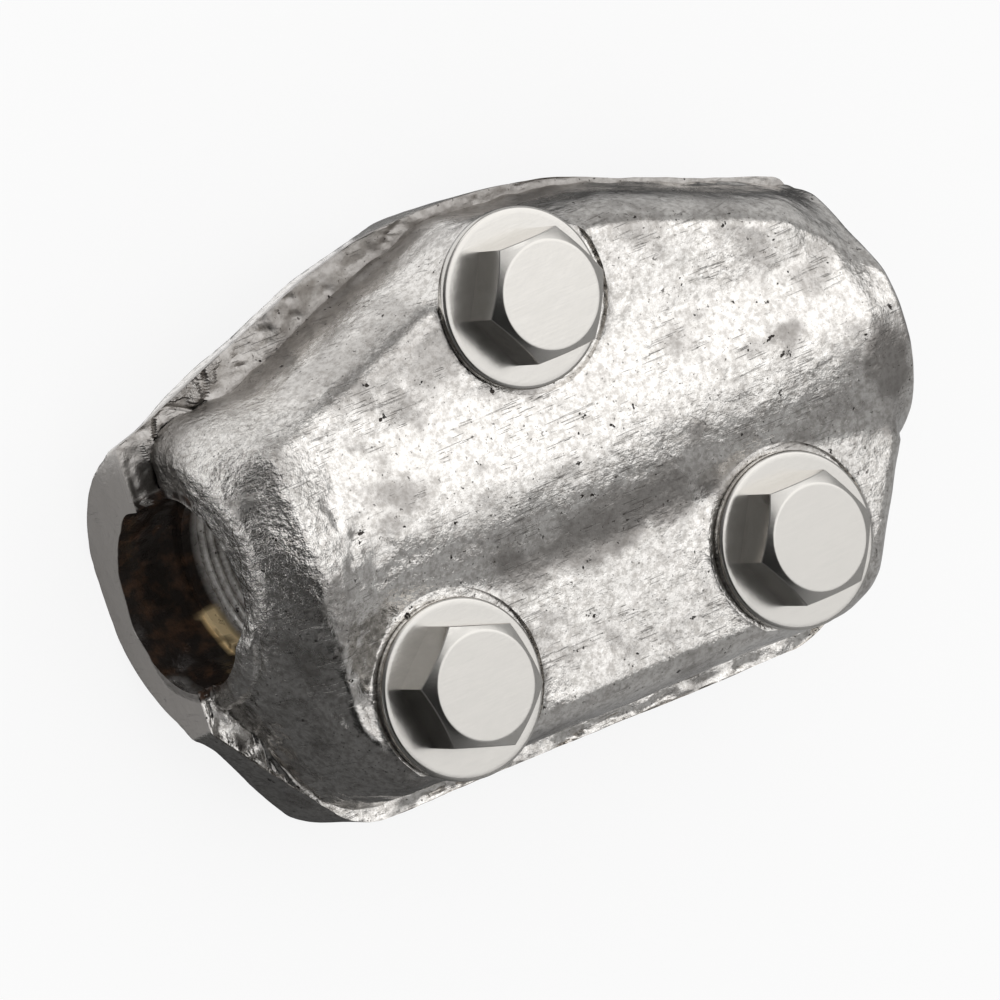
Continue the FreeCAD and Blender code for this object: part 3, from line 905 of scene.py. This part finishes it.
class ConnectorFinish(bpy.types.PropertyGroup):
    """Colours of the metals."""
    tin_light: bpy.props.FloatVectorProperty(
        name="Tin, bright", description="Bright parts of the dipped tin", default=srgb("#F2EFEB"),
        size=4, min=0.0, max=1.0, subtype="COLOR")
    tin_dark: bpy.props.FloatVectorProperty(
        name="Tin, dull", description="Dull parts of the dipped tin", default=srgb("#C4C0BB"),
        size=4, min=0.0, max=1.0, subtype="COLOR")
    # Grey of the stains, also laid on as painted shade at the foot of the cover's upper walls and on the bare
    # ledge
    tin_stain_and_shade: bpy.props.FloatVectorProperty(
        name="Stain", description="Grey stains on the tin", default=srgb("#86817D"),
        size=4, min=0.0, max=1.0, subtype="COLOR")
    pit: bpy.props.FloatVectorProperty(
        name="Pit", description="Dark pits in the skin", default=srgb("#3E3936"),
        size=4, min=0.0, max=1.0, subtype="COLOR")
    scale_dark: bpy.props.FloatVectorProperty(
        name="Mouth, dark", description="Dark tinned wall of the mouth", default=srgb("#2E2926"),
        size=4, min=0.0, max=1.0, subtype="COLOR")
    scale_brown: bpy.props.FloatVectorProperty(
        name="Mouth, brown", description="Brown hints on the mouth's wall", default=srgb("#5A4334"),
        size=4, min=0.0, max=1.0, subtype="COLOR")
    bronze: bpy.props.FloatVectorProperty(
        name="Bare bronze", description="Bronze where the tin was turned away", default=srgb("#F2D8A8"),
        size=4, min=0.0, max=1.0, subtype="COLOR")
    ground: bpy.props.FloatVectorProperty(
        name="Ground end", description="Belt-ground end of the base", default=srgb("#A8A4A0"),
        size=4, min=0.0, max=1.0, subtype="COLOR")
    steel: bpy.props.FloatVectorProperty(
        name="Steel", description="Stainless steel of the bolts and washers", default=srgb("#D9D6D1"),
        size=4, min=0.0, max=1.0, subtype="COLOR")


def finish_material(name, maker):
    """The named material, made the first time that it is asked for."""
    return bpy.data.materials.get(name) or maker(bpy.context.scene.connector_finish)


class CONNECTOR_OT_base(bpy.types.Operator):
    """Makes the base casting's skin with its bare ledge, sawn ends and rough mouths"""
    bl_idname = "connector.base"
    bl_label = "Base Casting"

    def execute(self, context):
        grid = casting_grid(base_field, (-HALF_LENGTH, HALF_LENGTH), turns=(-33.0, 33.0),
                            first_angle=-math.pi, joint_points=34, lipped=False)
        thing = build_casting("base_skin", grid, base_field, base_skin, upper=False)
        below = -PARTING - CUT_OVERRUN
        cut(thing, [plug("hole", spot, BASE_HOLE, below, CUT_OVERRUN) for spot in BOLT_SPOTS])
        mark_points(thing, MASKS)
        smooth(thing, CAST_SHARP)
        thing.data.materials.append(finish_material("tin_dipped_bronze", tin_dipped_bronze))
        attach(thing, "base")
        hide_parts("base_casting")
        return {"FINISHED"}


class CONNECTOR_OT_cover(bpy.types.Operator):
    """Makes the cover casting's skin with its ridge and washer seats"""
    bl_idname = "connector.cover"
    bl_label = "Cover Casting"

    def execute(self, context):
        grid = casting_grid(cover_field, (COVER_LEFT, COVER_RIGHT), turns=(-32.0, 36.0),
                            first_angle=0.0, joint_points=8, lipped=True)
        thing = build_casting("cover_skin", grid, cover_field, cover_skin, upper=True)
        above = SEAT + ABOVE_SEAT
        cut(thing, [plug("hole", spot, COVER_HOLE, -CUT_OVERRUN, above) for spot in BOLT_SPOTS]
            + [plug("seat", spot, SPOTFACE, SEAT, above) for spot in BOLT_SPOTS])
        mark_points(thing, MASKS)
        smooth(thing, CAST_SHARP)
        thing.data.materials.append(finish_material("tin_dipped_bronze", tin_dipped_bronze))
        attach(thing, "cover")
        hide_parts("cover_casting")
        return {"FINISHED"}


def washer_mesh(name, spot):
    """Washer: a flat ring's profile with rolled upper edges, carried round its axis."""
    inner, outer, top = WASHER_HOLE, WASHER_RADIUS, WASHER_THICKNESS
    profile = [(inner, HOLE_BREAK), (inner, top - EDGE_BREAK), (inner + HOLE_BREAK, top)]
    profile += [(radius, top) for radius in np.linspace(inner + 0.5, outer - ROLLED_EDGE, 10)]
    for angle in np.linspace(0.0, math.pi / 2, 6):
        across, down = outer - ROLLED_EDGE, top - ROLLED_EDGE
        profile += [(across + ROLLED_EDGE * math.sin(angle), down + ROLLED_EDGE * math.cos(angle))]
    profile += [(outer, EDGE_BREAK), (outer - EDGE_BREAK, 0.0)]
    profile += [(inner + HOLE_BREAK, 0.0), (inner, HOLE_BREAK)]
    return ring_mesh(name, turned_points(profile, 144) + np.array([spot[0], spot[1], PARTING + SEAT]))


class CONNECTOR_OT_washers(bpy.types.Operator):
    """Makes the three flat washers with rolled edges"""
    bl_idname = "connector.washers"
    bl_label = "Washers"

    def execute(self, context):
        for number, spot in zip(NUMBERS, WASHER_SPOTS):
            name = "washer_ring_" + number
            thing = put(name, washer_mesh(name, spot))
            smooth(thing, WASHER_SHARP)
            thing.data.materials.append(finish_material("satin_stainless", satin_stainless))
            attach(thing, "washer_" + number + "_body")
            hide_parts("washer_" + number)
        return {"FINISHED"}


def corner_angle(node):
    """Angle, in radians, of one corner of a bolt's hexagon head in the CAD."""
    points = mesh_points(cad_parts[node].data) - np.append(middle(node), 0.0)
    corner = points[np.argmax(np.hypot(points[:, 0], points[:, 1]))]
    return math.atan2(corner[1], corner[0])


def head_rings(from_flat):
    """Radius and height of each ring of a bolt's head, from the middle of its top down to its foot.

    Each ring of the hexagon runs at half the width across flats over the cosine of the angle from
    the flat's middle, and the chamfer drops as far below the top as that ring stands outside its
    circle, times the tangent of 30 degrees.
    """
    hexagon = HEAD_FLATS / 2 / np.cos(from_flat)
    circle = np.full(len(from_flat), HEAD_CIRCLE)
    top = np.full(len(from_flat), HEAD_HEIGHT)
    drop = (hexagon - HEAD_CIRCLE) * CHAMFER_SLOPE
    soft_drop = SOFT_EDGE * CHAMFER_SLOPE
    return np.array([
        (0.0 * circle, top), (0.5 * circle, top), (circle - FLAT_RIM, top), (circle - SOFT_EDGE, top),
        (circle, top - CIRCLE_SINK), (circle + SOFT_EDGE, top - soft_drop),
        (hexagon - SOFT_EDGE, top - drop + soft_drop), (hexagon, top - drop - CORNER_SINK),
        (hexagon, 0.0 * top),
    ])


def bolt_mesh(name, spot, corner, sizes):
    """Hexagon bolt as one skin of rings, from the middle of its head's top down to its tip.

    The shank's rings follow a screw thread: the depth rises and falls in straight flanks with the
    height over the pitch less the angle over a full turn. The tip is cut by a cone.
    """
    angles = corner + np.linspace(0.0, 2 * math.pi, 96, endpoint=False)
    rings = head_rings(np.mod(angles - corner, math.pi / 3) - math.pi / 6)
    height = -np.linspace(0.0, BOLT_LENGTH, THREAD_ROWS)[:, None]
    phase = np.mod(height / (sizes.thread_pitch / MM) - angles / (2 * math.pi), 1.0)
    flank = (1.0 + 2.0 * THREAD_FLAT) * np.abs(2.0 * phase - 1.0) - THREAD_FLAT
    flank = np.clip(flank, 0.0, 1.0)
    depth = (sizes.thread_depth / MM) * (1.0 - flank) * step(-height, *THREAD_RUN_IN)
    tip = SHANK_RADIUS - TIP_CHAMFER + height + BOLT_LENGTH
    radius = np.minimum(SHANK_RADIUS - depth, tip)
    radius = np.concatenate([rings[:, 0], radius, np.zeros((1, len(angles)))])
    tip_row = np.full((1, len(angles)), -BOLT_LENGTH)
    height = np.concatenate([rings[:, 1], height + 0.0 * angles, tip_row])
    points = np.stack([radius * np.cos(angles), radius * np.sin(angles), height], axis=-1)
    return ring_mesh(name, points + np.array([spot[0], spot[1], PARTING + SEAT + WASHER_THICKNESS]))


class CONNECTOR_OT_bolts(bpy.types.Operator):
    """Makes the three hexagon bolts with their screw threads"""
    bl_idname = "connector.bolts"
    bl_label = "Bolts"

    def execute(self, context):
        sizes = context.scene.connector_sizes
        for number, spot in zip(NUMBERS, BOLT_SPOTS):
            name = "screw_" + number
            thing = put(name, bolt_mesh(name, spot, corner_angle("bolt_" + number), sizes))
            smooth(thing, BOLT_SHARP)
            thing.data.materials.append(finish_material("satin_stainless", satin_stainless))
            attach(thing, "bolt_" + number + "_body")
            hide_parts("bolt_" + number)
        return {"FINISHED"}


# Camera, in millimetres and degrees
TARGET = (-3.53, -4.2, 17.87)
CAMERA_AZIMUTH = -108.98
CAMERA_ELEVATION = 60.15
CAMERA_ROLL = -88.29
CAMERA_DISTANCE = 960.2
LENS = 288.86
CLIP_METRES = (0.05, 20.0)

# Tent: radius, azimuth and elevation of its opening's middle, half the opening's angle, height over
# the floor, and azimuths of its dark side, white strip and pale side
TENT_RADIUS = 1000.0
TENT_MIDDLE = (25.0, 58.0)
TENT_OPENING = 33.0
TENT_OVER_FLOOR = 0.3
TENT_DARK_SIDE = 200.0
TENT_STRIP = 80.0
TENT_PALE = 42.0

# Tones of the tent from 0 to 1: plain cloth, losses of dark parts, among them the floor's painted shadow
# close to the object, and what pale parts reach
CLOTH_TONE = 0.42
DARK_SIDE_LOSS = 0.3
LOW_LOSS = 0.2
DARK_TOP_LOSS = 0.8
PALE_TONE = 0.55
FLOOR_SHADOW_LOSS = 0.8
FLOOR_TONE = 0.6

# Soft lamps: name, azimuth, elevation, distance, width, height and power in watts
SOFTBOXES = (("key", 27, 57, 900, 620, 620, 0.45), ("side", 80, 36, 850, 400, 260, 0.25))

# Floor: height from the joint face under which the cloth lies on it, half its side, and the share of
# plain white that it shows. World: strength of its plain grey light
FLOOR_BELOW = -10.0
FLOOR_HALF = 4000.0
PAPER_WHITE = 0.85
WORLD_STRENGTH = 0.8


def sphere_way(azimuth, elevation):
    """Direction at an azimuth from +X towards +Y and an elevation, in degrees."""
    a, e = math.radians(azimuth), math.radians(elevation)
    return np.array([math.cos(a) * math.cos(e), math.sin(a) * math.cos(e), math.sin(e)])


def bare_paper(points):
    """One where the white floor beyond the upper near side is left bare."""
    beyond = step(points[..., 1] - 0.34 * points[..., 0], 33.0, 37.0)
    return beyond * (1.0 - step(points[..., 0], 10.0, 16.0)) * (points[..., 2] < FLOOR_BELOW)


def tent_mesh(name):
    """Grey cloth tent that only reflections see: a dome over the floor, open towards the soft light.

    Rings of directions are turned round the opening's middle. Each direction is carried out to the
    dome, or down to just over the floor, and a part of the white floor is left bare.
    """
    spread = np.radians(np.linspace(TENT_OPENING, 180.0, 64))[:, None]
    turn = np.linspace(0.0, 2 * math.pi, 96, endpoint=False)[None, :]
    opening = sphere_way(*TENT_MIDDLE)
    across = np.cross(opening, [0.0, 0.0, 1.0])
    across = across / np.linalg.norm(across)
    up = np.cross(across, opening)
    way = (np.cos(spread)[..., None] * opening + (np.sin(spread) * np.cos(turn))[..., None] * across
           + (np.sin(spread) * np.sin(turn))[..., None] * up)
    reach = np.minimum(TENT_RADIUS, (PARTING - TENT_OVER_FLOOR) / np.maximum(-way[..., 2], 1e-6))
    points = (way * reach[..., None]).reshape(-1, 3)
    triangles = ring_triangles(len(spread), turn.size)
    triangles = triangles[bare_paper(points[triangles].mean(axis=1)) < 0.5]
    return make_mesh(name, points + np.array([0.0, 0.0, PARTING]), triangles)


def facing(side, azimuth, start, stop):
    """How far level directions turn to an azimuth, between two cosines of the angle to it."""
    return step(side @ sphere_way(azimuth, 0.0)[:2], start, stop)


def tent_tone(points):
    """Tone of the tent's cloth by direction: dark towards the dark side, else mid grey.

    The dark side is darkest in its upper part. A white strip stands at the upper side and a pale
    one at the far side. The floor is pale beyond the upper far side, and dark close to it with a
    painted shadow of the object.
    """
    way = points / np.linalg.norm(points, axis=-1, keepdims=True)
    side = way[..., :2] / np.maximum(np.linalg.norm(way[..., :2], axis=-1, keepdims=True), 1e-6)
    rise = way[..., 2]
    tone = CLOTH_TONE - DARK_SIDE_LOSS * facing(side, TENT_DARK_SIDE, -0.15, 0.75)
    tone = tone * (1.0 - LOW_LOSS * step(-rise, 0.15, 0.5))
    dark_top = facing(side, TENT_DARK_SIDE + 15.0, 0.3, 0.8) * step(rise, 0.68, 0.8)
    tone = tone * (1.0 - DARK_TOP_LOSS * dark_top * (rise < 0.97))
    strip = facing(side, TENT_STRIP, 0.85, 0.97) * step(rise, 0.2, 0.4)
    pale = facing(side, TENT_PALE, 0.9, 0.98) * step(rise, -0.05, 0.1)
    tone = tone + (PALE_TONE - tone) * pale
    # Painted shadow: the floor part of the tent is darkened close to the object's upper far side, where its
    # contact shadow lies
    beyond = points[..., 1] + 0.36 * points[..., 0]
    near = (1.0 - step(beyond, 48.0, 62.0)) * step(beyond, 25.0, 32.0)
    far = step(beyond, 50.0, 64.0)
    floor = (points[..., 2] < FLOOR_BELOW) * step(points[..., 0], 5.0, 25.0)
    tone = tone * (1.0 - FLOOR_SHADOW_LOSS * near * floor)
    tone = tone + (FLOOR_TONE - tone) * far * floor
    return tone + (1.0 - tone) * strip


def only_reflected(thing):
    """Hides an object from all but the object's reflections."""
    thing.visible_camera = False
    thing.visible_diffuse = False
    thing.visible_shadow = False
    thing.visible_transmission = False


def softbox(name, azimuth, elevation, distance, width, height, power):
    """Area lamp that looks at the object."""
    lamp = bpy.data.lights.new(name, "AREA")
    lamp.shape = "RECTANGLE"
    lamp.size = width * MM
    lamp.size_y = height * MM
    lamp.energy = power
    thing = put(name, lamp)
    way = sphere_way(azimuth, elevation)
    thing.location = Vector(np.array([0, 0, PARTING]) * MM + way * distance * MM)
    thing.rotation_euler = Vector(way).to_track_quat("Z", "Y").to_euler()


def floor_mesh():
    """Flat square on which the object lies."""
    corners = np.array([(-1, -1, 0), (1, -1, 0), (1, 1, 0), (-1, 1, 0)]) * FLOOR_HALF * MM
    mesh = bpy.data.meshes.new("floor")
    mesh.from_pydata(corners.tolist(), [], [(0, 1, 2, 3)])
    return mesh


def sees_background(tree):
    """One for camera, glossy and transmission rays, which see the white background."""
    share = 0.0
    for ray in ("Is Camera Ray", "Is Glossy Ray", "Is Transmission Ray"):
        seen = add(tree, "ShaderNodeLightPath", output=ray)
        share = add(tree, "ShaderNodeMath", {0: share, 1: seen}, operation="MAXIMUM")
    return share


def white_paper():
    """White paper sweep: shows white to the camera and keeps a soft shadow."""
    material = bpy.data.materials.new("white_paper")
    tree = new_tree(material)
    paper = add(tree, "ShaderNodeBsdfDiffuse", {"Color": srgb("#F4F4F4")})
    white = add(tree, "ShaderNodeEmission", {"Color": (1, 1, 1, 1), "Strength": 1.0})
    share = add(tree, "ShaderNodeMath", {0: sees_background(tree), 1: PAPER_WHITE}, operation="MULTIPLY")
    mixed = add(tree, "ShaderNodeMixShader", {0: share, 1: paper, 2: white})
    add(tree, "ShaderNodeOutputMaterial", {"Surface": mixed})
    return material


def world_light(scene):
    """White background for what the camera and the metals see, and a plain grey light on the rest."""
    world = bpy.data.worlds.new("studio")
    tree = new_tree(world)
    white = add(tree, "ShaderNodeBackground", {"Color": (1, 1, 1, 1), "Strength": 1.0})
    grey = add(tree, "ShaderNodeBackground", {"Color": (1, 1, 1, 1), "Strength": WORLD_STRENGTH})
    mixed = add(tree, "ShaderNodeMixShader", {0: sees_background(tree), 1: grey, 2: white})
    add(tree, "ShaderNodeOutputWorld", {"Surface": mixed})
    scene.world = world


def camera(scene):
    """Camera at the fitted viewing angle: back from the target, then rolled about the line of sight."""
    azimuth, elevation = math.radians(CAMERA_AZIMUTH), math.radians(CAMERA_ELEVATION)
    back = Vector((math.sin(azimuth) * math.cos(elevation), -math.cos(azimuth) * math.cos(elevation),
                   math.sin(elevation)))
    right = Vector((0, 0, 1)).cross(back).normalized()
    up = back.cross(right)
    turn = math.radians(CAMERA_ROLL)
    rolled_up = up * math.cos(turn) + right * math.sin(turn)
    rolled_right = rolled_up.cross(back)
    data = bpy.data.cameras.new("camera")
    data.lens = LENS
    data.clip_start, data.clip_end = CLIP_METRES
    thing = put("camera", data)
    matrix = Matrix((rolled_right, rolled_up, back)).transposed().to_4x4()
    matrix.translation = (Vector(TARGET) + back * CAMERA_DISTANCE) * MM
    thing.matrix_world = matrix
    scene.camera = thing


class CONNECTOR_OT_stage(bpy.types.Operator):
    """Makes the white floor, the soft studio light with its cloth tent, and the camera"""
    bl_idname = "connector.stage"
    bl_label = "Stage"

    def execute(self, context):
        scene = context.scene
        floor = put("floor", floor_mesh())
        floor.data.materials.append(white_paper())
        tent = put("tent", tent_mesh("tent"))
        mark_points(tent, {"tone": tent_tone})
        tent.data.materials.append(grey_cloth())
        only_reflected(tent)
        for settings in SOFTBOXES:
            softbox(*settings)
        world_light(scene)
        camera(scene)
        scene.view_settings.view_transform = "Standard"
        return {"FINISHED"}


class CONNECTOR_PT_panel(bpy.types.Panel):
    """Lists the steps of the connector's looks"""
    bl_idname = "CONNECTOR_PT_panel"
    bl_label = "Bonding Connector"
    bl_space_type = "VIEW_3D"
    bl_region_type = "UI"
    bl_category = "Connector"

    def draw(self, context):
        for operator in OPERATORS:
            self.layout.operator(operator.bl_idname)
        for settings in (context.scene.connector_sizes, context.scene.connector_finish):
            for name in settings.__annotations__:
                self.layout.prop(settings, name)


OPERATORS = (
    CONNECTOR_OT_base, CONNECTOR_OT_cover, CONNECTOR_OT_washers, CONNECTOR_OT_bolts, CONNECTOR_OT_stage,
)
CLASSES = (ConnectorSizes, ConnectorFinish) + OPERATORS + (CONNECTOR_PT_panel,)


def register():
    """Registers the classes and hangs their settings on the scene."""
    for kind in CLASSES:
        bpy.utils.register_class(kind)
    bpy.types.Scene.connector_sizes = bpy.props.PointerProperty(type=ConnectorSizes)
    bpy.types.Scene.connector_finish = bpy.props.PointerProperty(type=ConnectorFinish)


def unregister():
    """Takes the settings and classes away again."""
    del bpy.types.Scene.connector_finish
    del bpy.types.Scene.connector_sizes
    for kind in reversed(CLASSES):
        bpy.utils.unregister_class(kind)


def main():
    """Registers the add-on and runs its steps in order."""
    register()
    bpy.ops.connector.base()
    bpy.ops.connector.cover()
    bpy.ops.connector.washers()
    bpy.ops.connector.bolts()
    bpy.ops.connector.stage()


if __name__ == "__main__":
    main()
